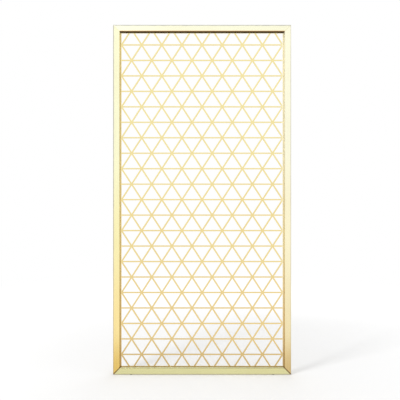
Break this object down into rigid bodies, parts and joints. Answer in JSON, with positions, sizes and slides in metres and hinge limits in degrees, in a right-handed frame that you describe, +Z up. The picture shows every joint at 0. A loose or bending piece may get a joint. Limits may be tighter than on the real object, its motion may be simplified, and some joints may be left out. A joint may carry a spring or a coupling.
{
  "type": "laser cut metal screen",
  "caption": "Upright gold steel partition screen: a mitred square-tube frame round a recessed sheet cut into a triangular lattice, on low glide pads.",
  "frame": {"origin": "middle of the screen's width and depth, on the floor under the glide pads", "axes": "+Z up the screen, +X to the right as seen from the front, the front faces -Y"},
  "size_m": [1.12, 0.04, 2.204],
  "materials": {
    "frame_gold": "satin champagne gold, vapour-coated stainless steel",
    "panel_gold": "satin champagne gold, vapour-coated stainless sheet",
    "screw_gold": "gold coated stainless steel",
    "zinc_plate": "bright zinc plate",
    "key_nylon": "moulded glass-filled nylon",
    "pad_rubber": "matt black rubber"
  },
  "bodies": {
    "root": {"left_stile": "frame_gold", "right_stile": "frame_gold", "top_rail": "frame_gold", "bottom_rail": "frame_gold", "top_left_corner_key": "key_nylon", "top_right_corner_key": "key_nylon", "bottom_left_corner_key": "key_nylon", "bottom_right_corner_key": "key_nylon", "lattice_panel": "panel_gold", "panel_rivet_nuts": "zinc_plate", "panel_screws": "screw_gold", "corner_key_screws": "screw_gold", "left_glide_pad": "pad_rubber", "right_glide_pad": "pad_rubber", "head_fixing_nuts": "zinc_plate", "floor_fixing_nuts": "zinc_plate"}
  },
  "joints": []
}
